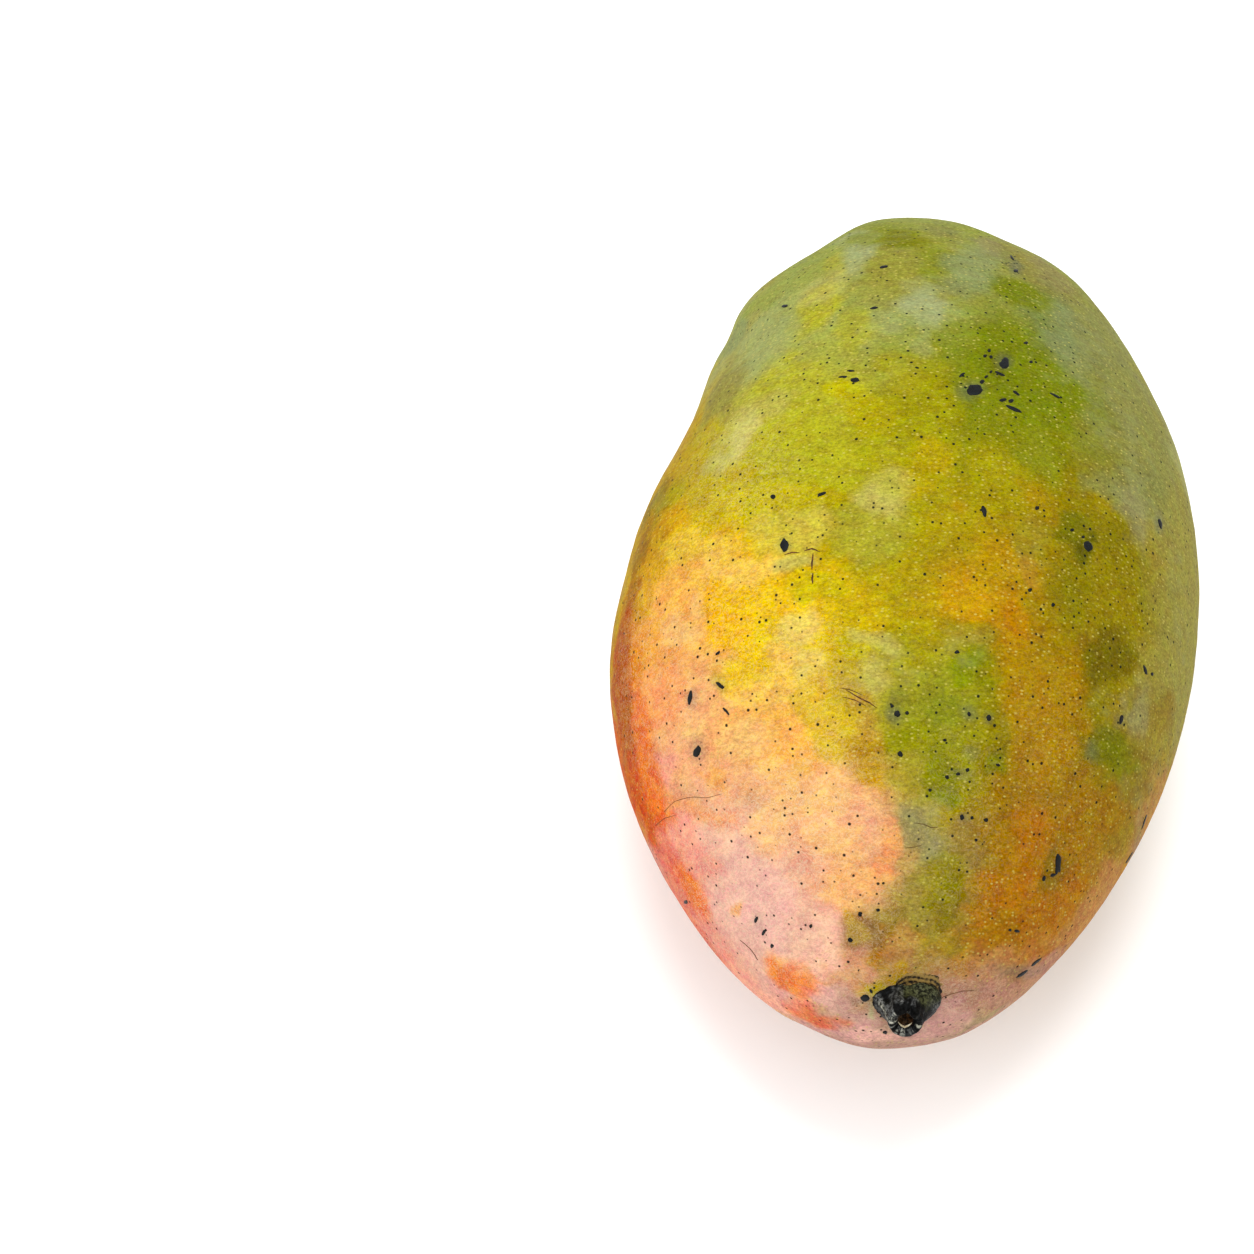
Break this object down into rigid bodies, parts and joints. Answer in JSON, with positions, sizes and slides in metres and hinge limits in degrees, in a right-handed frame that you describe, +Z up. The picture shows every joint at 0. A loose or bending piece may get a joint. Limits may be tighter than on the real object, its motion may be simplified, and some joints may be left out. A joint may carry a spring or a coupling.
{
  "type": "mango",
  "caption": "Whole ripe mango with a curved beak side, a shallow stem dimple and a short dry stalk stub, lying on its broad side on a small flat spot.",
  "frame": {"origin": "middle of the fruit's bounding box in plan, on the surface that the fruit rests on", "axes": "+Y along the fruit from the stem end to the apex, +X across its width away from the beak, +Z up through its thickness"},
  "size_m": [0.0858, 0.1348, 0.0781],
  "materials": {
    "skin": "waxy skin with fine dots, green to peach",
    "dry_stalk": "dry dark bark, matt"
  },
  "bodies": {
    "root": {"fruit": "skin", "stem_stub": "dry_stalk"}
  },
  "joints": []
}
